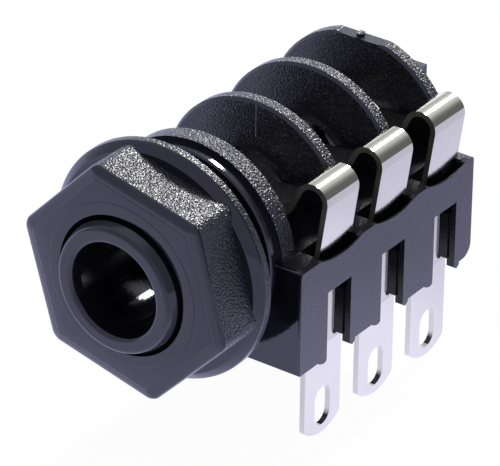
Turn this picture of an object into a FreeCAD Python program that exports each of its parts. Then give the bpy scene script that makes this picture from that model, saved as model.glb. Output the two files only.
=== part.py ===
import FreeCAD, Part
import math
import os
import re

import Sketcher
from FreeCAD import Vector

# Quarter-inch stereo jack socket for a panel.
# Frame: +Z up, +Y back along the plug's axis, +X towards the solder lugs. Millimetres and degrees.
# The origin is on the plug's axis, in the plane of the shoulder's face, which seats on the back of the panel.

DRIVING_SIZES = {
    # nose tube and its bore
    "bore_radius": 3.25,
    "cage_bore_radius": 3.45,
    "rear_hole_radius": 2.9,
    "mouth_radius": 3.45,
    "mouth_depth": 0.9,
    "nose_length": 8.05,
    "nose_tip_radius": 4.45,
    "nose_tip_length": 0.75,
    "thread_radius": 4.75,
    "rim_round": 0.36,
    # shoulder, fins and the core that joins them
    "shoulder_radius": 7.0,
    "shoulder_length": 0.82,
    "shoulder_chamfer": 0.12,
    "fin_radius": 7.36,
    "front_fin_thickness": 1.4,
    "fin_thickness": 1.0,
    "fin_chamfer": 0.2,
    "fin_start": 7.67,
    "pitch": 6.35,
    "rear_fin_advance": 0.37,
    "core_radius": 4.0,
    "fin_flat_depth": 0.3,
    "window_left": 2.4,
    "window_sill": 1.5,
    "window_margin": 0.5,
    # moulding marks on the last fin
    "gate_offset": 0.15,
    "gate_radius": 0.3,
    "gate_height": 0.25,
    "key_width": 1.9,
    "key_right": 4.4,
    "key_drop": 1.71,
    "key_length": 0.95,
    # terminal block
    "block_inner": 3.6,
    "block_top": 0.545,
    "block_bottom": 7.2,
    "block_front": 0.3,
    "block_rear": 20.85,
    "block_corner_round": 1.0,
    "block_edge_round": 0.3,
    "notch_top": 2.21,
    "notch_width": 2.71,
    "notch_offset": 0.16,
    "ledge_lift": 0.3,
    "outer_face_width": 0.43,
    "groove_width": 0.19,
    "groove_depth": 0.25,
    "foot_height": 0.42,
    "foot_width": 0.62,
    "hook_height": 0.3,
    "hook_width": 0.85,
    "foot_thickness": 0.62,
    "mouth_width": 4.3,
    "mouth_gap": 0.185,
    "mouth_wall": 0.36,
    "well_depth": 3.4,
    "lip_crest_width": 0.09,
    "lip_drop": 0.25,
    "lip_depth": 1.0,
    "dip_width": 5.2,
    "dip_depth": 0.7,
    "dip_round": 7.0,
    "slot_clearance": 0.05,
    # contact strip
    "contact_centre": 4.945,
    "strip_thickness": 0.4,
    "strip_width": 3.65,
    "lug_width": 4.18,
    "lug_middle": 7.7,
    "lug_top": 3.2,
    "lug_side_end": 13.5,
    "lug_point": 14.94,
    "lug_end_round": 3.2,
    "lug_corner_round": 0.5,
    "hole_width": 1.77,
    "hole_top": 10.7,
    "hole_bottom": 13.65,
    "hole_round": 0.86,
    "jog_start": 3.0,
    "jog_end": 2.3,
    "jog_round": 0.5,
    "leg_lean": 8.2,
    "fold_out": 7.96,
    "fold_up": 4.42,
    "fold_round": 1.05,
    "spring_lean": 26.2,
    "spring_corner_up": 2.65,
    "spring_corner_round": 1.65,
    "touch_left": 1.0,
    "touch_up": 2.03,
    "touch_round": 0.8,
    "spring_end_left": 1.7,
    "spring_end_up": 3.0,
    # fixing nut
    "nut_front": 7.08,
    "nut_rear": 2.29,
    "hex_across_flats": 14.74,
    "hex_turn": 46.2,
    "hex_rear": 2.6,
    "hex_corner_round": 0.95,
    "bevel_depth": 0.3,
    "bevel_width": 0.85,
    "bevel_round": 0.3,
    "flange_radius": 8.6,
    "flange_brow": 3.12,
    "flange_root_radius": 7.1,
    "flange_root": 4.25,
    "thread_clearance": 0.05,
    "opening_radius": 5.01,
    "opening_depth": 0.35,
}

CONTACTS = ("sleeve_contact", "ring_contact", "tip_contact")

doc = FreeCAD.newDocument("stereo_jack_socket")

sheet = doc.addObject("Spreadsheet::Sheet", "sizes")
for row, (name, size) in enumerate(DRIVING_SIZES.items(), start=1):
    sheet.set(f"A{row}", name)
    sheet.set(f"B{row}", str(size))
    sheet.setAlias(f"B{row}", name)
working = doc.addObject("Spreadsheet::Sheet", "working")
doc.recompute()


def linked(formula):
    """The formula with each size's name tied to its cell."""
    return re.sub(r"[a-z_]+", lambda word: ("sizes." if word[0] in DRIVING_SIZES else "") + word[0], formula)


def number(formula):
    """What a formula comes to, worked out in a cell of the spare sheet."""
    working.set("A1", "=" + linked(formula))
    working.recompute()
    result = working.get("A1")
    return float(getattr(result, "Value", result))


def bind(thing, **formulas):
    """Ties properties to formulas; a double underscore stands for a dot."""
    for prop, formula in formulas.items():
        thing.setExpression(prop.replace("__", "."), linked(formula))


def origin_plane(body, role):
    return next(f for f in body.Origin.OriginFeatures if f.Role == role)


def new_body(label):
    body = doc.addObject("PartDesign::Body", label)
    body.Label = label
    return body


def pin_point(sketch, geometry, end, x, y):
    """Fixes a point of the sketch at two formulas."""
    for kind, formula in (("DistanceX", x), ("DistanceY", y)):
        place = sketch.addConstraint(Sketcher.Constraint(kind, -1, 1, geometry, end, number(formula)))
        sketch.setExpression(f"Constraints[{place}]", linked(formula))


def new_sketch(body, name, plane, offset):
    sketch = body.newObject("Sketcher::SketchObject", name)
    sketch.AttachmentSupport = (origin_plane(body, plane), "")
    sketch.MapMode = "FlatFace"
    bind(sketch, AttachmentOffset__Base__z=offset)
    return sketch


def outline(body, name, plane, corners, offset="0", closed=True):
    """A sketch through the corners, each (x, y) or, where the corner is round, (x, y, radius)."""
    sketch = new_sketch(body, name, plane, offset)
    count = len(corners)
    at = [Vector(number(c[0]), number(c[1]), 0) for c in corners]
    leave, reach, arcs = list(at), list(at), {}
    for i, corner in enumerate(corners):
        if len(corner) == 2:
            continue
        radius = number(corner[2])
        back, on = (at[i - 1] - at[i]).normalize(), (at[(i + 1) % count] - at[i]).normalize()
        half = back.getAngle(on) / 2
        reach[i] = at[i] + back * (radius / math.tan(half))
        leave[i] = at[i] + on * (radius / math.tan(half))
        centre = at[i] + (back + on).normalize() * (radius / math.sin(half))
        left_turn = (at[i] - at[i - 1]).cross(at[(i + 1) % count] - at[i]).z > 0
        first, last = (reach[i], leave[i]) if left_turn else (leave[i], reach[i])
        angles = [math.atan2(end.y - centre.y, end.x - centre.x) for end in (first, last)]
        arcs[i] = (Part.ArcOfCircle(Part.Circle(centre, Vector(0, 0, 1), radius), *angles), left_turn)
    sides = count if closed else count - 1
    lines = [sketch.addGeometry(Part.LineSegment(leave[i], reach[(i + 1) % count])) for i in range(sides)]
    for i, corner in enumerate(corners):
        if not closed and i in (0, count - 1):
            side, end = (lines[0], 1) if i == 0 else (lines[-1], 2)
            pin_point(sketch, side, end, corner[0], corner[1])
            continue
        before, after = lines[i - 1], lines[i]
        if i not in arcs:
            sketch.addConstraint(Sketcher.Constraint("Coincident", before, 2, after, 1))
            pin_point(sketch, after, 1, corner[0], corner[1])
            continue
        arc, left_turn = arcs[i]
        bend = sketch.addGeometry(arc)
        start, end = (1, 2) if left_turn else (2, 1)
        sketch.addConstraint(Sketcher.Constraint("Tangent", before, 2, bend, start))
        sketch.addConstraint(Sketcher.Constraint("Tangent", after, 1, bend, end))
        size = sketch.addConstraint(Sketcher.Constraint("Radius", bend, number(corner[2])))
        sketch.setExpression(f"Constraints[{size}]", linked(corner[2]))
        tip = sketch.addGeometry(Part.Point(at[i]), True)
        sketch.addConstraint(Sketcher.Constraint("PointOnObject", tip, 1, before))
        sketch.addConstraint(Sketcher.Constraint("PointOnObject", tip, 1, after))
        pin_point(sketch, tip, 1, corner[0], corner[1])
    doc.recompute()
    return sketch


def box_corners(x_low, y_low, x_high, y_high):
    return [(x_low, y_low), (x_high, y_low), (x_high, y_high), (x_low, y_high)]


def feature(body, kind, name, profile, **formulas):
    made = body.newObject(f"PartDesign::{kind}", name)
    made.Profile = profile
    bind(made, **formulas)
    return made


def turned(body, name, corners):
    """A form turned about the plug's axis from corners (radius, y)."""
    sketch = outline(body, name + "_profile", "XY_Plane", corners)
    made = feature(body, "Revolution", name, sketch)
    made.ReferenceAxis = (sketch, ["V_Axis"])
    made.Angle = 360
    doc.recompute()
    return made


def cut(body, name, sketch, length):
    """A pocket against the sketch's normal: +Y from XZ, -X from YZ, -Z from XY."""
    made = feature(body, "Pocket", name, sketch, Length=length)
    doc.recompute()
    return made


def raised(body, name, sketch, length):
    """A pad along the sketch's normal: -Y from XZ, +X from YZ, +Z from XY."""
    made = feature(body, "Pad", name, sketch, Length=length)
    doc.recompute()
    return made


def edges_where(shape, test):
    return [f"Edge{i}" for i, edge in enumerate(shape.Edges, start=1) if test(edge)]


def rounded(body, name, base, size, test):
    """A fillet on the edges of the last form that pass the test."""
    made = body.newObject("PartDesign::Fillet", name)
    made.Base = (base, edges_where(base.Shape, test))
    bind(made, Radius=size)
    doc.recompute()
    return made


# Housing

housing = new_body("housing")

front_fin_rear = "(shoulder_length + front_fin_thickness)"
rear_fin_front = "(fin_start + 2 * pitch - rear_fin_advance)"
body_rear = f"({rear_fin_front} + fin_thickness)"
fin_flat_height = "(fin_radius - fin_flat_depth)"
key_top = "(fin_radius - key_drop)"

# The leg leans out between the jog and the fold, and the block's mouth and outer wall keep clear of it
leg_foot = "(fold_out + (fold_round - (jog_end + fold_up) * sin(leg_lean)) / cos(leg_lean))"
leg_outer = f"({leg_foot} + (block_top + jog_end) * tan(leg_lean) + strip_thickness / 2 / cos(leg_lean))"
mouth_inner = "(lug_middle - strip_thickness / 2 - mouth_gap)"
mouth_outer = f"({leg_outer} + mouth_gap)"
block_outer = f"({mouth_outer} + mouth_wall)"

profile = [
    ("mouth_radius", "-nose_length", "rim_round"),
    ("nose_tip_radius", "-nose_length", "rim_round"),
    ("thread_radius", "-nose_length + nose_tip_length"),
    ("thread_radius", "0"),
    ("shoulder_radius - shoulder_chamfer", "0"),
    ("shoulder_radius", "shoulder_chamfer"),
    ("shoulder_radius", "shoulder_length"),
    ("fin_radius", "shoulder_length"),
    ("fin_radius", front_fin_rear),
    ("core_radius", front_fin_rear),
]
for front in ("fin_start", "(fin_start + pitch)"):
    profile += [
        ("core_radius", front),
        ("fin_radius - fin_chamfer", front),
        ("fin_radius", f"{front} + fin_chamfer"),
        ("fin_radius", f"{front} + fin_thickness"),
        ("core_radius", f"{front} + fin_thickness"),
    ]
profile += [
    ("core_radius", rear_fin_front),
    ("fin_radius - fin_chamfer", rear_fin_front),
    ("fin_radius", f"{rear_fin_front} + fin_chamfer"),
    ("fin_radius", body_rear),
    ("rear_hole_radius", body_rear),
    ("rear_hole_radius", rear_fin_front),
    ("cage_bore_radius", rear_fin_front),
    ("cage_bore_radius", front_fin_rear),
    ("bore_radius", front_fin_rear),
    ("bore_radius", "-nose_length + mouth_depth"),
]
turned(housing, "nose_and_fins", profile)

raised(housing, "terminal_block", outline(housing, "block_side", "YZ_Plane", [
    ("block_front", "-block_bottom"),
    ("block_rear", "-block_bottom", "block_corner_round"),
    ("block_rear", "block_top", "block_edge_round"),
    ("block_front", "block_top", "block_edge_round"),
], offset="block_inner"), f"{block_outer} - block_inner")

cut(housing, "fin_flat", outline(
    housing, "fin_flat_outline", "XZ_Plane",
    box_corners("-fin_radius", fin_flat_height, "fin_radius", "fin_radius + 1"),
    offset=f"-({rear_fin_front} - 0.2)"), "fin_thickness + 0.4")

gate_sketch = new_sketch(housing, "gate_outline", "XY_Plane", f"{fin_flat_height} - gate_height")
gate_middle = f"{rear_fin_front} + fin_thickness / 2"
gate_centre = Vector(-number("gate_offset"), number(gate_middle), 0)
gate_circle = gate_sketch.addGeometry(Part.Circle(gate_centre, Vector(0, 0, 1), number("gate_radius")))
pin_point(gate_sketch, gate_circle, 3, "-gate_offset", gate_middle)
gate_size = gate_sketch.addConstraint(Sketcher.Constraint("Radius", gate_circle, number("gate_radius")))
gate_sketch.setExpression(f"Constraints[{gate_size}]", linked("gate_radius"))
doc.recompute()
raised(housing, "gate_mark", gate_sketch, "2 * gate_height")

raised(housing, "rear_key", outline(
    housing, "key_outline", "XZ_Plane",
    box_corners("key_right - key_width", f"{key_top} - key_width", "key_right", key_top),
    offset=f"-({body_rear} + key_length)"), "key_length + fin_thickness / 2")

# What each contact needs in the housing, made at the first contact and then repeated at the pitch

notch_start = "(contact_centre - notch_offset - notch_width / 2)"
notch_end = "(contact_centre - notch_offset + notch_width / 2)"
slot_start = "(contact_centre - lug_width / 2 - slot_clearance)"
slot_width = "(lug_width + 2 * slot_clearance)"
mouth_start = "(contact_centre - mouth_width / 2)"
lip_start = f"({mouth_outer} - 0.05)"
lip_crest = f"({block_outer} - lip_crest_width)"
window_start = "(contact_centre - strip_width / 2 - window_margin)"
ledge_face = f"({block_outer} - outer_face_width - groove_width)"

repeated = []

repeated.append(cut(housing, "spring_window", outline(
    housing, "window_outline", "XZ_Plane",
    box_corners("-window_left", "window_sill", "core_radius + 0.5", "core_radius + 1"),
    offset=f"-{window_start}"), "strip_width + 2 * window_margin"))

repeated.append(cut(housing, "lug_slot", outline(
    housing, "lug_slot_outline", "XZ_Plane",
    box_corners("lug_middle - strip_thickness / 2 - slot_clearance", "-block_bottom - 1",
                "lug_middle + strip_thickness / 2 + slot_clearance", "-lug_top + slot_clearance"),
    offset=f"-{slot_start}"), slot_width))

repeated.append(cut(housing, "mouth_well", outline(
    housing, "mouth_well_outline", "XZ_Plane",
    box_corners(mouth_inner, "-well_depth", mouth_outer, "block_top + 1"),
    offset=f"-{mouth_start}"), "mouth_width"))

repeated.append(cut(housing, "mouth_lip", outline(
    housing, "mouth_lip_outline", "XZ_Plane", [
        (lip_start, "block_top - lip_depth"),
        (lip_crest, "block_top - lip_drop"),
        (lip_crest, "block_top + 1"),
        (lip_start, "block_top + 1"),
    ], offset=f"-{mouth_start}"), "mouth_width"))

repeated.append(cut(housing, "lip_dip", outline(
    housing, "lip_dip_outline", "YZ_Plane", [
        ("contact_centre - dip_width / 2", "block_top"),
        ("contact_centre", "block_top - dip_depth", "dip_round"),
        ("contact_centre + dip_width / 2", "block_top"),
        ("contact_centre + dip_width / 2", "block_top + 1"),
        ("contact_centre - dip_width / 2", "block_top + 1"),
    ], offset=f"{block_outer} + 0.1"), f"{block_outer} + 0.1 - {lip_start}"))

repeated.append(cut(housing, "notch", outline(
    housing, "notch_outline", "YZ_Plane",
    box_corners(notch_start, "-block_bottom - 1", notch_end, "-notch_top"),
    offset=f"{block_outer} + 0.1"), f"{block_outer} + 0.1 - lug_middle"))

repeated.append(cut(housing, "notch_groove", outline(
    housing, "notch_groove_outline", "XZ_Plane",
    box_corners(ledge_face, "-block_bottom - 1", f"{block_outer} - outer_face_width", "-notch_top"),
    offset=f"-({notch_end} - 0.1)"), "groove_depth + 0.1"))

repeated.append(cut(housing, "ledge_step", outline(
    housing, "ledge_step_outline", "XZ_Plane",
    box_corners("lug_middle", "-block_bottom - 1", ledge_face, "-block_bottom + ledge_lift"),
    offset=f"-({notch_end} - 0.1)"), f"{slot_start} + {slot_width} - {notch_end} + 0.1"))

repeated.append(raised(housing, "foot", outline(
    housing, "foot_outline", "YZ_Plane", [
        (notch_end, "-block_bottom + foot_height"),
        (notch_end, "-block_bottom - foot_height / 2"),
        (f"{notch_end} + foot_width / 2", "-block_bottom - foot_height", "foot_height / 8"),
        (f"{notch_end} + foot_width", "-block_bottom - foot_height / 2", "foot_height / 8"),
        (f"{notch_end} + foot_width", "-block_bottom + foot_height"),
    ], offset=f"{block_outer} - foot_thickness"), "foot_thickness"))

repeated.append(raised(housing, "hook", outline(
    housing, "hook_outline", "YZ_Plane", [
        (f"{notch_start} - hook_width", "-block_bottom + hook_height"),
        (f"{notch_start} - hook_width", "-block_bottom - hook_height / 2", "hook_height / 4"),
        (f"{notch_start} - hook_width / 2", "-block_bottom - hook_height", "hook_height / 2"),
        (notch_start, "-block_bottom - hook_height", "hook_height * 0.8"),
        (notch_start, "-block_bottom + hook_height"),
    ], offset=f"{block_outer} - foot_thickness"), "foot_thickness"))

along_row = housing.newObject("PartDesign::LinearPattern", "contact_places")
along_row.Originals = repeated
along_row.Direction = (origin_plane(housing, "Y_Axis"), [""])
along_row.Occurrences = 3
bind(along_row, Length="2 * pitch")
housing.Tip = along_row
doc.recompute()

# Contacts

apex_turn = "((180 - leg_lean - spring_lean) / 2)"
apex_reach = "(fold_round / sin((spring_lean - leg_lean) / 2))"
apex_out = f"fold_out + {apex_reach} * cos({apex_turn})"
apex_up = f"fold_up + {apex_reach} * sin({apex_turn})"
corner_drop = "((spring_corner_up - fold_up) * sin(spring_lean))"
spring_corner = f"(fold_out - (fold_round - {corner_drop}) / cos(spring_lean))"

contact_bodies = []
for turn, label in enumerate(CONTACTS):
    contact = new_body(label)
    centre = f"(contact_centre + {turn} * pitch)"
    raised(contact, label + "_lug", outline(contact, label + "_lug_outline", "YZ_Plane", [
        (f"{centre} - lug_width / 2", "-lug_top"),
        (f"{centre} - lug_width / 2", "-lug_side_end", "lug_corner_round"),
        (centre, "-lug_point", "lug_end_round"),
        (f"{centre} + lug_width / 2", "-lug_side_end", "lug_corner_round"),
        (f"{centre} + lug_width / 2", "-lug_top"),
    ], offset="lug_middle - strip_thickness / 2"), "strip_thickness")
    cut(contact, label + "_hole", outline(contact, label + "_hole_outline", "YZ_Plane", [
        (f"{centre} - hole_width / 2", "-hole_bottom", "hole_round"),
        (f"{centre} + hole_width / 2", "-hole_bottom", "hole_round"),
        (f"{centre} + hole_width / 2", "-hole_top", "hole_round"),
        (f"{centre} - hole_width / 2", "-hole_top", "hole_round"),
    ], offset="lug_middle + strip_thickness"), "2 * strip_thickness")
    path = outline(contact, label + "_path", "XZ_Plane", [
        ("lug_middle", "-lug_top - strip_thickness"),
        ("lug_middle", "-jog_start", "jog_round"),
        (leg_foot, "-jog_end", "jog_round"),
        (apex_out, apex_up, "fold_round"),
        (spring_corner, "spring_corner_up", "spring_corner_round"),
        ("-touch_left", "touch_up", "touch_round"),
        ("-spring_end_left", "spring_end_up"),
    ], offset=f"-{centre}", closed=False)
    section = outline(contact, label + "_section", "XY_Plane", box_corners(
        "lug_middle - strip_thickness / 2", f"{centre} - strip_width / 2",
        "lug_middle + strip_thickness / 2", f"{centre} + strip_width / 2"),
        offset="-lug_top - strip_thickness")
    strip = contact.newObject("PartDesign::AdditivePipe", label + "_strip")
    strip.Profile = section
    strip.Spine = path
    strip.Mode = "Standard"
    doc.recompute()
    contact_bodies.append(contact)

# Fixing nut

nut = new_body("fixing_nut")

bevel_start = "(nut_front - bevel_depth)"
hex_reach = "(hex_across_flats / 2 / cos(30))"
turns = [f"(hex_turn + {60 * k})" for k in range(6)]
hexagon = [(f"{hex_reach} * cos{t}", f"{hex_reach} * sin{t}", "hex_corner_round") for t in turns]
raised(nut, "hexagon", outline(nut, "hexagon_outline", "XZ_Plane", hexagon, offset="hex_rear"),
       f"{bevel_start} - hex_rear")
bevel_outline = outline(nut, "bevel_outline", "XZ_Plane", hexagon, offset=bevel_start)
bevel = feature(nut, "Pad", "hexagon_bevel", bevel_outline,
                Length="bevel_depth", TaperAngle="-atan(bevel_width / bevel_depth)")
doc.recompute()
front_rim = -number(bevel_start)
rounded(nut, "hexagon_edges", bevel, "bevel_round",
        lambda edge: all(abs(v.Y - front_rim) < 1e-6 for v in edge.Vertexes))
turned(nut, "flange", [
    ("thread_radius", "-nut_rear"),
    ("thread_radius", "-flange_root"),
    ("flange_root_radius", "-flange_root"),
    ("flange_radius", "-flange_brow"),
    ("flange_radius", "-nut_rear"),
])
bored = feature(nut, "Groove", "threaded_hole", outline(nut, "hole_profile", "XY_Plane", [
    ("0", "-nut_rear + 1"),
    ("0", "-nut_front - 1"),
    ("opening_radius + 1", "-nut_front - 1"),
    ("opening_radius", "-nut_front"),
    ("thread_radius + thread_clearance", "-nut_front + opening_depth"),
    ("thread_radius + thread_clearance", "-nut_rear + 1"),
]))
bored.ReferenceAxis = (bored.Profile[0], ["V_Axis"])
bored.Angle = 360
doc.recompute()

# Check and export

os.makedirs("parts", exist_ok=True)
for thing in doc.Objects:
    faults = [state for state in thing.State if state in ("Invalid", "Error")]
    if faults:
        raise RuntimeError(f"{thing.Label}: {faults}")
for body in [housing, nut] + contact_bodies:
    shape = body.Shape
    if shape.isNull() or not shape.isValid() or len(shape.Solids) != 1:
        raise RuntimeError(f"{body.Label}: the shape isn't one valid solid")
    print(body.Label, "volume", round(shape.Volume, 2), "faces", len(shape.Faces), "box",
          [round(v, 2) for v in (shape.BoundBox.XMin, shape.BoundBox.YMin, shape.BoundBox.ZMin,
                                 shape.BoundBox.XMax, shape.BoundBox.YMax, shape.BoundBox.ZMax)])
    shape.exportStep(f"parts/{body.Label}.step")
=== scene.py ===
import math

import bpy
from mathutils import Matrix, Vector


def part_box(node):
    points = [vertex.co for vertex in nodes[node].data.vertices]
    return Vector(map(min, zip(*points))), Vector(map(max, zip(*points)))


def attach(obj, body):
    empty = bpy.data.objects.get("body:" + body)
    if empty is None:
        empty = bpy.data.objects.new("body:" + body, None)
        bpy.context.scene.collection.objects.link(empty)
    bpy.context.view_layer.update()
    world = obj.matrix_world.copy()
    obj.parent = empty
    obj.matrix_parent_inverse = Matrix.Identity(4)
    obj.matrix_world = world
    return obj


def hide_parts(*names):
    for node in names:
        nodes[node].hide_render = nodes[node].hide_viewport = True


# Quarter-inch stereo jack socket: looks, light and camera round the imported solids. Metres, +Z up.

MM = 0.001

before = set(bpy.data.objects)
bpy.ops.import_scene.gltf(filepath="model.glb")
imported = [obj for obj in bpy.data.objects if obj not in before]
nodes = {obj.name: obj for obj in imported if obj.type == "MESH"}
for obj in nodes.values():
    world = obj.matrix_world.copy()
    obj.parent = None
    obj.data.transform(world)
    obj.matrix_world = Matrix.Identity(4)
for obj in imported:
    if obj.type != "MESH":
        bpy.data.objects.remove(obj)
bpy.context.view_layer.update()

# Sizes in millimetres and degrees, from the frame's boxes or from what the photograph shows.
# The plug's axis is y, the front is towards -y, and every radius is measured from that axis.

# Sizes of the housing and the contacts
BORE_RADIUS = 3.25
NOSE_RADIUS = 4.45
THREAD_FRONT = -7.3
SHOULDER_RADIUS = 7.0
SHOULDER_REAR = 0.82
FIN_RADIUS = 7.36
FRONT_FIN_REAR = 2.22
BLOCK_FRONT = 0.3
BLOCK_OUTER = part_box("housing")[1][0] / MM
SEAM_MIDDLE = 0.21
SEAM_WIDTH = 0.1
NOTCH_BOTTOM = -7.3
NOTCH_TOP = -0.7
FOLD_LEVEL = 4.4

# Sizes of the fixing nut
nut_low, nut_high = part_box("fixing_nut")
NUT_FRONT = nut_low[1] / MM
NUT_REAR = nut_high[1] / MM
HEX_SIDES = 6
HEX_ACROSS_FLATS = 14.74
HEX_TURN = 16.2
HEX_REAR = NUT_REAR - 0.3
HEX_CORNER_ROUND = 0.95
BEVEL_DEPTH = 0.3
BEVEL_WIDTH = 0.85
BEVEL_ROUND = 0.3
FLANGE_RADIUS = nut_high[0] / MM
FLANGE_BROW = -2.92
FLANGE_LEDGE = -3.42
LEDGE_RADIUS = 8.0
BROW_ROUND = 0.12
LEDGE_ROUND = 0.06
THREAD_ROOT = 5.06
THREAD_CREST = 4.82
THREAD_PITCH = 0.794
THREAD_TURNS = 5
RIDGE_WIDTH = THREAD_PITCH * 0.9
RIDGE_OVERLAP = 0.04
FACE_LINE_RADIUS = 5.92
FACE_LINE_WIDTH = 0.06
GRAIN_START = 6.5

# How finely the nut's round forms are cut, and the angle in degrees past which its edges stay sharp
ROUND_SIDES = 144
COIL_STEPS = 72
SMOOTH_ANGLE = 28


# Shader maths

class Value:
    """A node's socket that adds, multiplies and so on through Math nodes."""

    def __init__(self, finish, socket):
        self.finish = finish
        self.socket = socket

    def maths(self, operation, *others):
        return self.finish.node("ShaderNodeMath", {"operation": operation}, [self, *others])

    def __add__(self, other):
        return self.maths("ADD", other)

    __radd__ = __add__

    def __mul__(self, other):
        return self.maths("MULTIPLY", other)

    __rmul__ = __mul__

    def __sub__(self, other):
        return self.maths("SUBTRACT", other)

    def __rsub__(self, other):
        return self.finish.node("ShaderNodeMath", {"operation": "SUBTRACT"}, [other, self])

    def __pow__(self, other):
        return self.maths("POWER", other)

    def __neg__(self):
        return self * -1.0

    def __abs__(self):
        return self.maths("ABSOLUTE")


class Finish:
    """The nodes of one material, or of the world."""

    def __init__(self, owner):
        self.owner = owner
        owner.use_nodes = True
        self.tree = owner.node_tree
        self.tree.nodes.clear()

    def node(self, kind, settings=None, inputs=None, output=0):
        """Adds a node, sets it up, then fills its sockets with values or links."""
        made = self.tree.nodes.new(kind)
        for name, setting in (settings or {}).items():
            setattr(made, name, setting)
        pairs = inputs.items() if isinstance(inputs, dict) else enumerate(inputs or [])
        for key, given in pairs:
            self.fill(made.inputs[key], given)
        return Value(self, made.outputs[output]) if made.outputs else made

    def fill(self, socket, given):
        if isinstance(given, Value):
            self.tree.links.new(given.socket, socket)
        else:
            socket.default_value = given

    def split(self, vector):
        """A vector's x, y and z."""
        parts = self.node("ShaderNodeSeparateXYZ", None, [vector])
        return [Value(self, socket) for socket in parts.socket.node.outputs]

    def place(self):
        """The surface's place in millimetres, as a vector and as x, y, z."""
        metres = self.node("ShaderNodeTexCoord", output="Object")
        where = self.node("ShaderNodeVectorMath", {"operation": "SCALE"}, {0: metres, "Scale": 1 / MM})
        return where, self.split(where)

    def facing(self):
        """The true surface's normal as x, y, z."""
        return self.split(self.node("ShaderNodeNewGeometry", output="True Normal"))

    def rays(self):
        """Whether a ray comes from the camera, from a mirrored look or through glass."""
        paths = self.node("ShaderNodeLightPath").socket.node.outputs
        return [Value(self, paths[f"Is {kind} Ray"]) for kind in ("Camera", "Glossy", "Transmission")]

    def rise(self, value, low, high):
        """0 below low, 1 above high, smooth between."""
        return self.node("ShaderNodeMapRange", {"interpolation_type": "SMOOTHSTEP", "clamp": True},
                         {"Value": value, "From Min": low, "From Max": high})

    def fall(self, value, low, high):
        """1 below low, 0 above high, smooth between."""
        return 1 - self.rise(value, low, high)

    def band(self, value, low, high, soft):
        """1 from low to high, with ends that are soft by so much each way."""
        return self.rise(value, low - soft, low + soft) * self.fall(value, high - soft, high + soft)

    def stretch(self, where, scale):
        return self.node("ShaderNodeMapping", None, {"Vector": where, "Scale": scale})

    def grain(self, where, scale, detail, rough=0.5):
        return self.node("ShaderNodeTexNoise", {"noise_dimensions": "3D"},
                         {"Vector": where, "Scale": scale, "Detail": detail, "Roughness": rough})

    def blend(self, amount, first, second):
        """A colour between two, each of them a link or red, green and blue."""
        mixed = self.node("ShaderNodeMix", {"data_type": "RGBA"}, {"Factor": amount}, output=2)
        for key, given in ((6, first), (7, second)):
            self.fill(mixed.socket.node.inputs[key], given if isinstance(given, Value) else (*given, 1))
        return mixed

    def bump(self, height, depth, before=None):
        """Relief of a depth in millimetres where height is 1, over the relief that came before."""
        inputs = {"Strength": 1.0, "Distance": depth * MM, "Height": height}
        if before is not None:
            inputs["Normal"] = before
        return self.node("ShaderNodeBump", None, inputs)

    def surface(self, **sockets):
        shader = self.node("ShaderNodeBsdfPrincipled", None,
                           {name.replace("_", " "): given for name, given in sockets.items()})
        self.node("ShaderNodeOutputMaterial", None, {"Surface": shader})
        return self.owner


def off_centre(across, along):
    """How far a place is from the middle of its plane."""
    return (across * across + along * along) ** 0.5


# Fixing nut

def select_where(piece, kind, test):
    """Goes into edit mode with the faces or edges that pass the test selected, and nothing else."""
    bpy.ops.object.mode_set(mode="EDIT")
    bpy.ops.mesh.select_mode(type=kind)
    bpy.ops.mesh.select_all(action="DESELECT")
    bpy.ops.object.mode_set(mode="OBJECT")
    for part in piece.data.polygons if kind == "FACE" else piece.data.edges:
        part.select = test([piece.data.vertices[i].co / MM for i in part.vertices])
    bpy.ops.object.mode_set(mode="EDIT")


def on_plane(y):
    """A test that all points lie in the plane across the plug's axis at y."""
    return lambda points: all(abs(p.y - y) < 0.001 for p in points)


def along_axis(points):
    """Whether an edge runs from front to rear."""
    return abs(points[0].y - points[1].y) > 1


def inset_face(piece, plane, width, depth):
    """Draws the end face at a plane inwards by a width, and forwards by a depth."""
    select_where(piece, "FACE", on_plane(plane))
    bpy.ops.mesh.inset(thickness=width * MM, depth=depth * MM)
    bpy.ops.object.mode_set(mode="OBJECT")


def bevel_edges(piece, test, size, segments):
    select_where(piece, "EDGE", test)
    bpy.ops.mesh.bevel(offset=size * MM, segments=segments)
    bpy.ops.object.mode_set(mode="OBJECT")


def new_cylinder(name, radius, front, rear, sides=ROUND_SIDES, turn=0.0):
    """A closed prism round the plug's axis, between two planes."""
    bpy.ops.object.select_all(action="DESELECT")
    bpy.ops.mesh.primitive_cylinder_add(
        vertices=sides, radius=radius * MM, depth=(rear - front) * MM,
        location=(0, (front + rear) / 2 * MM, 0), rotation=(math.pi / 2, -math.radians(turn), 0))
    bpy.ops.object.transform_apply(location=True, rotation=True, scale=True)
    piece = bpy.context.object
    piece.name = name
    return piece


def combine(piece, other, operation):
    """Joins the other closed form to the piece, or takes it away, and removes it."""
    fusing = piece.modifiers.new(operation.lower(), "BOOLEAN")
    fusing.operation = operation
    fusing.object = other
    fusing.solver = "EXACT"
    bpy.context.view_layer.objects.active = piece
    bpy.ops.object.modifier_apply(modifier=fusing.name)
    bpy.data.objects.remove(other)


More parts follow.
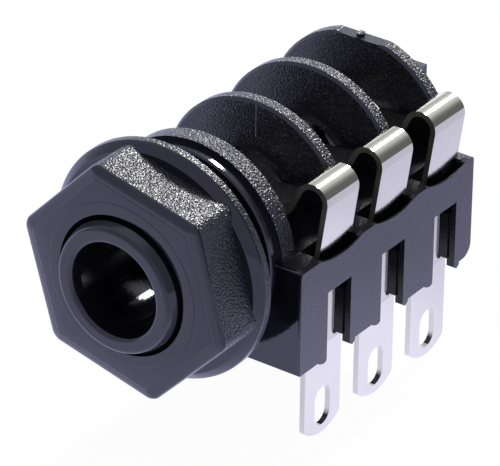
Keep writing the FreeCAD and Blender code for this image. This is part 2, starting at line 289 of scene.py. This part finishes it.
def hexagon_form():
    """The nut's hexagon: round corners, and a shallow bevel with a soft edge round its face."""
    bevel_start = NUT_FRONT + BEVEL_DEPTH
    flat_to_corner = math.pi / HEX_SIDES
    corner_reach = HEX_ACROSS_FLATS / 2 / math.cos(flat_to_corner)
    piece = new_cylinder("nut", corner_reach, bevel_start, HEX_REAR, HEX_SIDES, HEX_TURN)
    bevel_edges(piece, along_axis, HEX_CORNER_ROUND * math.tan(flat_to_corner), segments=8)
    inset_face(piece, bevel_start, BEVEL_WIDTH, BEVEL_DEPTH)
    bevel_slope = math.atan(BEVEL_WIDTH / BEVEL_DEPTH)
    bevel_edges(piece, on_plane(bevel_start), BEVEL_ROUND * math.tan(bevel_slope / 2), segments=4)
    return piece


def flange_form():
    """The nut's round flange: a plain rim, a slope and a flat ledge round the hexagon."""
    piece = new_cylinder("flange", FLANGE_RADIUS, FLANGE_BROW, NUT_REAR)
    inset_face(piece, FLANGE_BROW, FLANGE_RADIUS - LEDGE_RADIUS, FLANGE_BROW - FLANGE_LEDGE)
    bevel_edges(piece, on_plane(FLANGE_BROW), BROW_ROUND, segments=3)
    bevel_edges(piece, on_plane(FLANGE_LEDGE), LEDGE_ROUND, segments=3)
    return piece


def thread_coil(start):
    """The nut's thread: a triangle, 1 high until it takes the ridge's size, wound round the hole's wall."""
    ridge_height = THREAD_ROOT - THREAD_CREST + RIDGE_OVERLAP
    corner_reach = 2 / 3
    side = corner_reach * math.sqrt(3)
    bpy.ops.object.select_all(action="DESELECT")
    bpy.ops.mesh.primitive_circle_add(
        vertices=3, radius=corner_reach * MM,
        location=((THREAD_CREST + ridge_height * corner_reach) * MM, 0, 0), rotation=(0, 0, math.pi / 2))
    coil = bpy.context.object
    bpy.ops.object.mode_set(mode="EDIT")
    bpy.ops.transform.resize(value=(ridge_height, RIDGE_WIDTH / side, 1),
                             center_override=tuple(coil.location))
    bpy.ops.transform.translate(value=(0, start * MM, 0))
    bpy.ops.object.mode_set(mode="OBJECT")
    bpy.ops.object.transform_apply(location=True, rotation=True, scale=True)
    winding = coil.modifiers.new("winding", "SCREW")
    winding.axis = "Y"
    winding.angle = math.tau
    winding.screw_offset = THREAD_PITCH * MM
    winding.iterations = THREAD_TURNS
    winding.steps = COIL_STEPS
    winding.render_steps = COIL_STEPS
    bpy.ops.object.modifier_apply(modifier=winding.name)
    bpy.ops.object.mode_set(mode="EDIT")
    bpy.ops.mesh.select_all(action="DESELECT")
    bpy.ops.mesh.select_mode(type="EDGE")
    bpy.ops.mesh.select_non_manifold()
    bpy.ops.mesh.fill_holes(sides=0)
    bpy.ops.mesh.select_all(action="SELECT")
    bpy.ops.mesh.normals_make_consistent(inside=False)
    bpy.ops.object.mode_set(mode="OBJECT")
    return coil


def model_nut():
    """The fixing nut, finer than its solid, in that solid's place."""
    piece = hexagon_form()
    combine(piece, flange_form(), "UNION")
    combine(piece, new_cylinder("hole", THREAD_ROOT, NUT_FRONT - 1, NUT_REAR + 1), "DIFFERENCE")
    coil = thread_coil(NUT_FRONT + THREAD_PITCH / 2)
    bpy.ops.object.select_all(action="DESELECT")
    coil.select_set(True)
    piece.select_set(True)
    bpy.context.view_layer.objects.active = piece
    bpy.ops.object.join()
    bpy.ops.object.shade_smooth_by_angle(angle=math.radians(SMOOTH_ANGLE))
    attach(piece, "root")
    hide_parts("fixing_nut")
    return piece


# Finishes. A grain's scale counts per millimetre, and a relief's depth is in millimetres.

PLASTIC = (0.0055, 0.0055, 0.0095)
PLASTIC_WORN = (0.0100, 0.0098, 0.0150)
# The next two colours are painted light: glints on the fins' faces, and shade in the nut's grooves
PAINTED_GLINT = (0.12, 0.12, 0.13)
PAINTED_GROOVE_SHADE = (0.002, 0.002, 0.003)
PLASTIC_INDEX = 1.52
METAL = (0.49, 0.49, 0.38)
METAL_BRIGHT = (0.55, 0.55, 0.43)

# Roughness of polished plastic and of the metal, and what the moulds' grain adds to the plastic's
POLISHED = 0.06
METAL_ROUGH = 0.10
GRAINED = 0.22

# The moulds' grain: its coarse and its fine scale, the coarse one's share, and its depth on each moulding
COARSE_SCALE = 6.5
FINE_SCALE = 10.0
COARSE_SHARE = 0.75
NUT_GRAIN_DEPTH = 0.125
HOUSING_GRAIN_DEPTH = 0.17

# How much of the housing's grain there is away from the fins' rims, and how much more on them
PLAIN_GRAIN = 0.18
RIM_GRAIN = 0.92

# How steeply a narrow face is made to lean, and where the thread's lean is counted from
THREAD_LEAN = 1.6
THREAD_LEAN_RADIUS = 5
NOTCH_LEAN = 0.4


def paint(name, material):
    for slot in nodes[name].material_slots:
        slot.material = material


def moulded_grain(f, where):
    """The moulds' grain: its coarse part, its fine part, and both together."""
    coarse = f.grain(where, COARSE_SCALE, detail=0.5)
    fine = f.grain(where, FINE_SCALE, detail=0.0)
    return coarse, fine, coarse * COARSE_SHARE + fine * (1 - COARSE_SHARE)


def housing_plastic():
    """Black moulding: a polished nose and shoulder, and behind them a grain that is deepest on the rims,
    with painted glints on the fins' faces.
    """
    f = Finish(bpy.data.materials.new("housing_plastic"))
    where, (x, y, z) = f.place()
    _, ny, _ = f.facing()
    radius = off_centre(x, z)
    coarse, fine, grain = moulded_grain(f, where)

    block_front = f.rise(-ny, 0.5, 0.9) * f.fall(y, BLOCK_FRONT + 0.05, BLOCK_FRONT + 0.1)
    polished = f.fall(y, SHOULDER_REAR - 0.08, SHOULDER_REAR)
    polished = polished * f.fall(x, BLOCK_OUTER - 0.21, BLOCK_OUTER - 0.11)
    textured = 1 - polished
    shoulder = f.band(radius, SHOULDER_RADIUS - 0.1, SHOULDER_RADIUS + 0.05, 0.03) * (1 - block_front)
    shoulder = shoulder * f.band(y, 0.05, SHOULDER_REAR - 0.04, 0.04)
    rims = f.rise(radius, FIN_RADIUS - 0.06, FIN_RADIUS - 0.02) * f.fall(abs(ny), 0.2, 0.4)
    rims = rims * f.fall(radius, FIN_RADIUS + 0.02, FIN_RADIUS + 0.04)
    looks_front = f.rise(-ny, 0.9, 0.95)
    fin_faces = looks_front * f.fall(radius, FIN_RADIUS - 0.06, FIN_RADIUS + 0.04)
    fin_faces = fin_faces * f.rise(y, FRONT_FIN_REAR - 0.22, FRONT_FIN_REAR - 0.12)
    outside_nose = f.rise(radius, NOSE_RADIUS - 0.01, NOSE_RADIUS + 0.01)
    thread_start = f.band(y, THREAD_FRONT - 0.2, THREAD_FRONT + 0.3, 0.05) * looks_front * outside_nose
    bore_left = (1 - outside_nose) * f.fall(x, 0.25 - BORE_RADIUS, 0.55 - BORE_RADIUS)
    seam = f.band(x, SEAM_MIDDLE - SEAM_WIDTH / 2, SEAM_MIDDLE + SEAM_WIDTH / 2, 0.03) * fin_faces
    seam = seam * f.rise(z, 4.3, 5.0) * f.fall(y, 8.5, 15.5)

    turned = f.grain(f.stretch(where, (0.25, 9.0, 0.25)), scale=1.0, detail=2.0, rough=0.6)
    relief = f.bump(grain * textured * (PLAIN_GRAIN + rims * RIM_GRAIN), HOUSING_GRAIN_DEPTH)
    relief = f.bump(turned * shoulder, 0.02, relief)
    relief = f.bump(coarse * polished, 0.004, relief)
    relief = f.bump((THREAD_LEAN_RADIUS - radius) * thread_start, THREAD_LEAN, relief)
    relief = f.bump(seam, 0.03, relief)

    colour = f.blend(coarse * textured, PLASTIC, PLASTIC_WORN)
    # Painted glints: pale specks painted into the colour of the fins' faces, standing in for sparkles of the
    # lamp
    colour = f.blend(f.rise(fine, 0.68, 0.72) * fin_faces, colour, PAINTED_GLINT)
    cloud = f.grain(where, scale=0.55, detail=2.0)
    rough = POLISHED + textured * GRAINED + rims * 0.02 + cloud * 0.05 + bore_left * 0.18
    return f.surface(Base_Color=colour, Roughness=rough, Normal=relief, IOR=PLASTIC_INDEX)


def nut_plastic():
    """The same black: grained flats and rim, and thin grooves round the hole and along the bevel's edge,
    darkened with painted shade.
    """
    f = Finish(bpy.data.materials.new("nut_plastic"))
    where, (x, y, z) = f.place()
    _, ny, _ = f.facing()
    radius = off_centre(x, z)
    coarse, _, grain = moulded_grain(f, where)

    textured = f.fall(abs(ny), 0.05, 0.15) * f.rise(radius, GRAIN_START, GRAIN_START + 0.1)
    half_line = FACE_LINE_WIDTH / 2
    hole_line = f.band(radius, FACE_LINE_RADIUS - half_line, FACE_LINE_RADIUS + half_line, 0.015)
    bevel_line = f.band(y, NUT_FRONT + 0.02, NUT_FRONT + 0.045, 0.01)
    lines = hole_line * f.rise(-ny, 0.9, 0.99) + bevel_line * f.rise(-ny, 0.8, 0.9)

    relief = f.bump(grain * textured, NUT_GRAIN_DEPTH)
    relief = f.bump(coarse * (1 - textured), 0.002, relief)
    relief = f.bump(1 - lines, 0.02, relief)

    colour = f.blend(coarse * textured, PLASTIC, PLASTIC_WORN)
    # Painted shade: the grooves round the hole and along the bevel's edge are darkened in the colour
    colour = f.blend(lines * 0.7, colour, PAINTED_GROOVE_SHADE)
    cloud = f.grain(where, scale=0.5, detail=2.0)
    rough = POLISHED + textured * GRAINED + cloud * 0.04
    return f.surface(Base_Color=colour, Roughness=rough, Normal=relief, IOR=PLASTIC_INDEX)


def contact_metal(name, middle):
    """Bright strip metal. Inside the block's notches it leans to the front, so that it mirrors the floor."""
    f = Finish(bpy.data.materials.new(name))
    where, (_, y, z) = f.place()
    nx, ny, _ = f.facing()
    lines = f.grain(f.stretch(where, (0.4, 14.0, 0.4)), scale=1.0, detail=3.0, rough=0.6)
    spots = f.grain(where, scale=2.2, detail=3.0, rough=0.6)
    on_fold = f.rise(z, FOLD_LEVEL - 1, FOLD_LEVEL)
    cut_edge = f.rise(abs(ny), 0.7, 0.9)
    in_notch = f.band(z, NOTCH_BOTTOM, NOTCH_TOP, 0.1) * f.rise(nx, 0.8, 0.9)
    relief = f.bump(lines, 0.002)
    relief = f.bump((y - middle) * in_notch, NOTCH_LEAN, relief)
    colour = f.blend(spots, METAL, METAL_BRIGHT)
    rough = METAL_ROUGH - on_fold * 0.05 + lines * 0.04 + spots * 0.03 + cut_edge * 0.25
    return f.surface(Base_Color=colour, Metallic=1.0, Roughness=rough, Normal=relief)


paint("housing", housing_plastic())
nut = model_nut()
nut.data.materials.append(nut_plastic())
for part in ("sleeve", "ring", "tip"):
    contact_low, contact_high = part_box(part + "_contact")
    paint(part + "_contact", contact_metal(part + "_metal", (contact_low[1] + contact_high[1]) / 2 / MM))


# Floor, light and camera

WHITE = (1.0, 1.0, 1.0)
MIRRORED_WHITE = (0.77, 0.75, 1.12)
MIRRORED_ROOM = (0.95, 0.95, 1.12)
FLOOR_PAINT = (0.85, 0.85, 0.86, 1)

# How much of the floor the camera sees as glow, and how much more glow a mirror sees: all over, in the
# patch beside the lugs as a painted pool of light, and less on the far right as a painted shadow of the part
SEEN_GLOW = 0.97
MIRRORED_GLOW = 0.5
PATCH_GLOW = 0.35
PAINTED_SHADOW_LOSS = 0.3

# How bright the room is to a mirror, in front and behind, how much the right and the left take off behind
# and the low left adds there, and how bright the room is to all else
ROOM_FRONT = 0.85
ROOM_BEHIND = 1.15
RIGHT_DIMMER = 0.93
LEFT_DIMMER = 0.42
LOW_LEFT = 0.9
ROOM_LIGHT = 0.5

# Places and sizes in metres. The patch is a part of the floor on the right of the lugs.
FLOOR_SIZE = 1.6
FLOOR_MIDDLE = (-0.55, -0.55, -0.0144)
PATCH_X = 0.014
PATCH_Y = 0.012
LAMP_AIM = (0, 0.006, 0)
LAMP_DISTANCE = 0.6
LAMP_SIZE = (0.11, 0.10)
CAMERA_PLACE = (0.14819, -0.20142, 0.14261)

# The way from the lamp's aim to the lamp, and its watts
LAMP_TOWARDS = (-0.09, 0.71, 0.69)
LAMP_POWER = 5.4

# The camera's way round from the front to the right, its way up and its lean, in degrees
CAMERA_ROUND = 35.364
CAMERA_UP = 29.557
CAMERA_LEAN = 0.76

# Its lens and its picture's width, in millimetres
CAMERA_LENS = 312.4
CAMERA_WIDTH = 36.0


def add_floor():
    """White to the eye, and a bright, slightly violet sheet to what mirrors it, with a painted pool of light
    in its patch and a painted shadow of the part on its far right.
    """
    f = Finish(bpy.data.materials.new("floor_white"))
    seen, mirrored, through = f.rays()
    x, y, _ = f.split(f.node("ShaderNodeNewGeometry", output="Position"))
    in_patch = f.fall(off_centre(x - PATCH_X, y - PATCH_Y), 0.006, 0.018)
    far_right = f.rise(x, PATCH_X, PATCH_X + 0.008)
    lit = f.node("ShaderNodeBsdfDiffuse", None, {"Color": FLOOR_PAINT})
    # Painted light on the floor, as mirrors see it: a pool of light in the patch and a shadow of the part on
    # the far right
    glow = f.node("ShaderNodeEmission", None, {
        "Color": f.blend(mirrored, WHITE, MIRRORED_WHITE),
        "Strength": 1 + mirrored * (MIRRORED_GLOW + in_patch * PATCH_GLOW - far_right * PAINTED_SHADOW_LOSS)})
    both = f.node("ShaderNodeMixShader", None, [seen * SEEN_GLOW + mirrored + through, lit, glow])
    f.node("ShaderNodeOutputMaterial", None, {"Surface": both})
    bpy.ops.object.select_all(action="DESELECT")
    bpy.ops.mesh.primitive_plane_add(size=FLOOR_SIZE, location=FLOOR_MIDDLE)
    floor = bpy.context.object
    floor.name = "floor"
    floor.data.materials.append(f.owner)


def add_lamp():
    """A broad lamp above and behind."""
    lamp = bpy.data.lights.new("lamp_back", "AREA")
    lamp.shape = "RECTANGLE"
    lamp.size, lamp.size_y = LAMP_SIZE
    lamp.energy = LAMP_POWER
    holder = bpy.data.objects.new("lamp_back", lamp)
    bpy.context.scene.collection.objects.link(holder)
    towards = Vector(LAMP_TOWARDS).normalized()
    holder.location = towards * LAMP_DISTANCE + Vector(LAMP_AIM)
    holder.rotation_mode = "QUATERNION"
    holder.rotation_quaternion = towards.to_track_quat("Z", "Y")


def add_world():
    """White to the eye. Mirrored, it is a bright front, a pale left and a dim room behind on the right."""
    world = bpy.data.worlds.new("studio")
    bpy.context.scene.world = world
    f = Finish(world)
    seen, mirrored, _ = f.rays()
    right, back, up = f.split(f.node("ShaderNodeTexCoord", output="Generated"))
    front = f.fall(back, -0.3, 0.3)
    far_left = f.fall(right, -0.6, -0.25)
    behind = ROOM_BEHIND - f.rise(right, 0.1, 0.62) * RIGHT_DIMMER - far_left * LEFT_DIMMER
    behind = behind + f.fall(up, 0.1, 0.42) * far_left * LOW_LEFT
    room = front * ROOM_FRONT + (1 - front) * behind
    tint = f.blend(mirrored * front, f.blend(mirrored, WHITE, MIRRORED_ROOM), MIRRORED_WHITE)
    strength = seen + (1 - seen) * (mirrored * room + (1 - mirrored) * ROOM_LIGHT)
    sky = f.node("ShaderNodeBackground", None, {"Color": tint, "Strength": strength})
    f.node("ShaderNodeOutputWorld", None, {"Surface": sky})


def turned_about(axis, degrees):
    return Matrix.Rotation(math.radians(degrees), 4, axis)


def add_camera():
    """A long lens in front on the right, looking down."""
    camera = bpy.data.cameras.new("camera")
    camera.sensor_fit = "HORIZONTAL"
    camera.sensor_width = CAMERA_WIDTH
    camera.lens = CAMERA_LENS
    camera.clip_start = 0.01
    camera.clip_end = 20.0
    holder = bpy.data.objects.new("camera", camera)
    bpy.context.scene.collection.objects.link(holder)
    raised = turned_about("X", 90 - CAMERA_UP) @ turned_about("Z", CAMERA_LEAN)
    holder.matrix_world = Matrix.Translation(CAMERA_PLACE) @ turned_about("Z", CAMERA_ROUND) @ raised
    bpy.context.scene.camera = holder


add_floor()
add_lamp()
add_world()
add_camera()
bpy.context.scene.view_settings.view_transform = "Standard"
